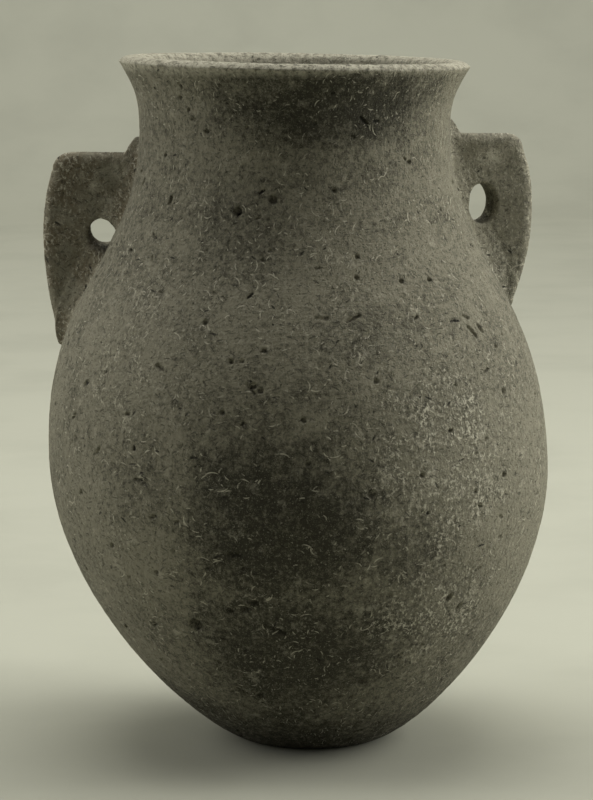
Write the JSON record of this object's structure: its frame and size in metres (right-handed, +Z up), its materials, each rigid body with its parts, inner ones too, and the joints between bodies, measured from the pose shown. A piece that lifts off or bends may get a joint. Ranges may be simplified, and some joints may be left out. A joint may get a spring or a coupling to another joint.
{
  "type": "pottery jar",
  "caption": "Hand-built jar with a small flat base, egg-shaped body, flaring neck and pierced upright lugs on the shoulder for a cord.",
  "frame": {"origin": "centre of the base's resting face", "axes": "+Z up along the jar, +X towards the right lug, +Y away from the viewer of the picture"},
  "size_m": [0.222, 0.2198, 0.3012],
  "materials": {
    "base_clay": "coarse unglazed fired clay, dark grey-brown",
    "wall_clay": "coarse unglazed fired clay, wiped, pitted with burnt-out chaff",
    "rim_clay": "coarse unglazed fired clay, worn pale at the lip",
    "lug_left_clay": "coarse unglazed fired clay, brownish",
    "lug_right_clay": "coarse unglazed fired clay, grey"
  },
  "bodies": {
    "root": {"base_pad": "base_clay", "heel_coil": "wall_clay", "lower_wall_coil_1": "wall_clay", "lower_wall_coil_2": "wall_clay", "belly_coil_1": "wall_clay", "belly_coil_2": "wall_clay", "upper_wall_coil_1": "wall_clay", "upper_wall_coil_2": "wall_clay", "shoulder_coil": "wall_clay", "neck_coil": "wall_clay", "rim_coil": "rim_clay", "lug_left": "lug_left_clay", "lug_right": "lug_right_clay"}
  },
  "joints": []
}
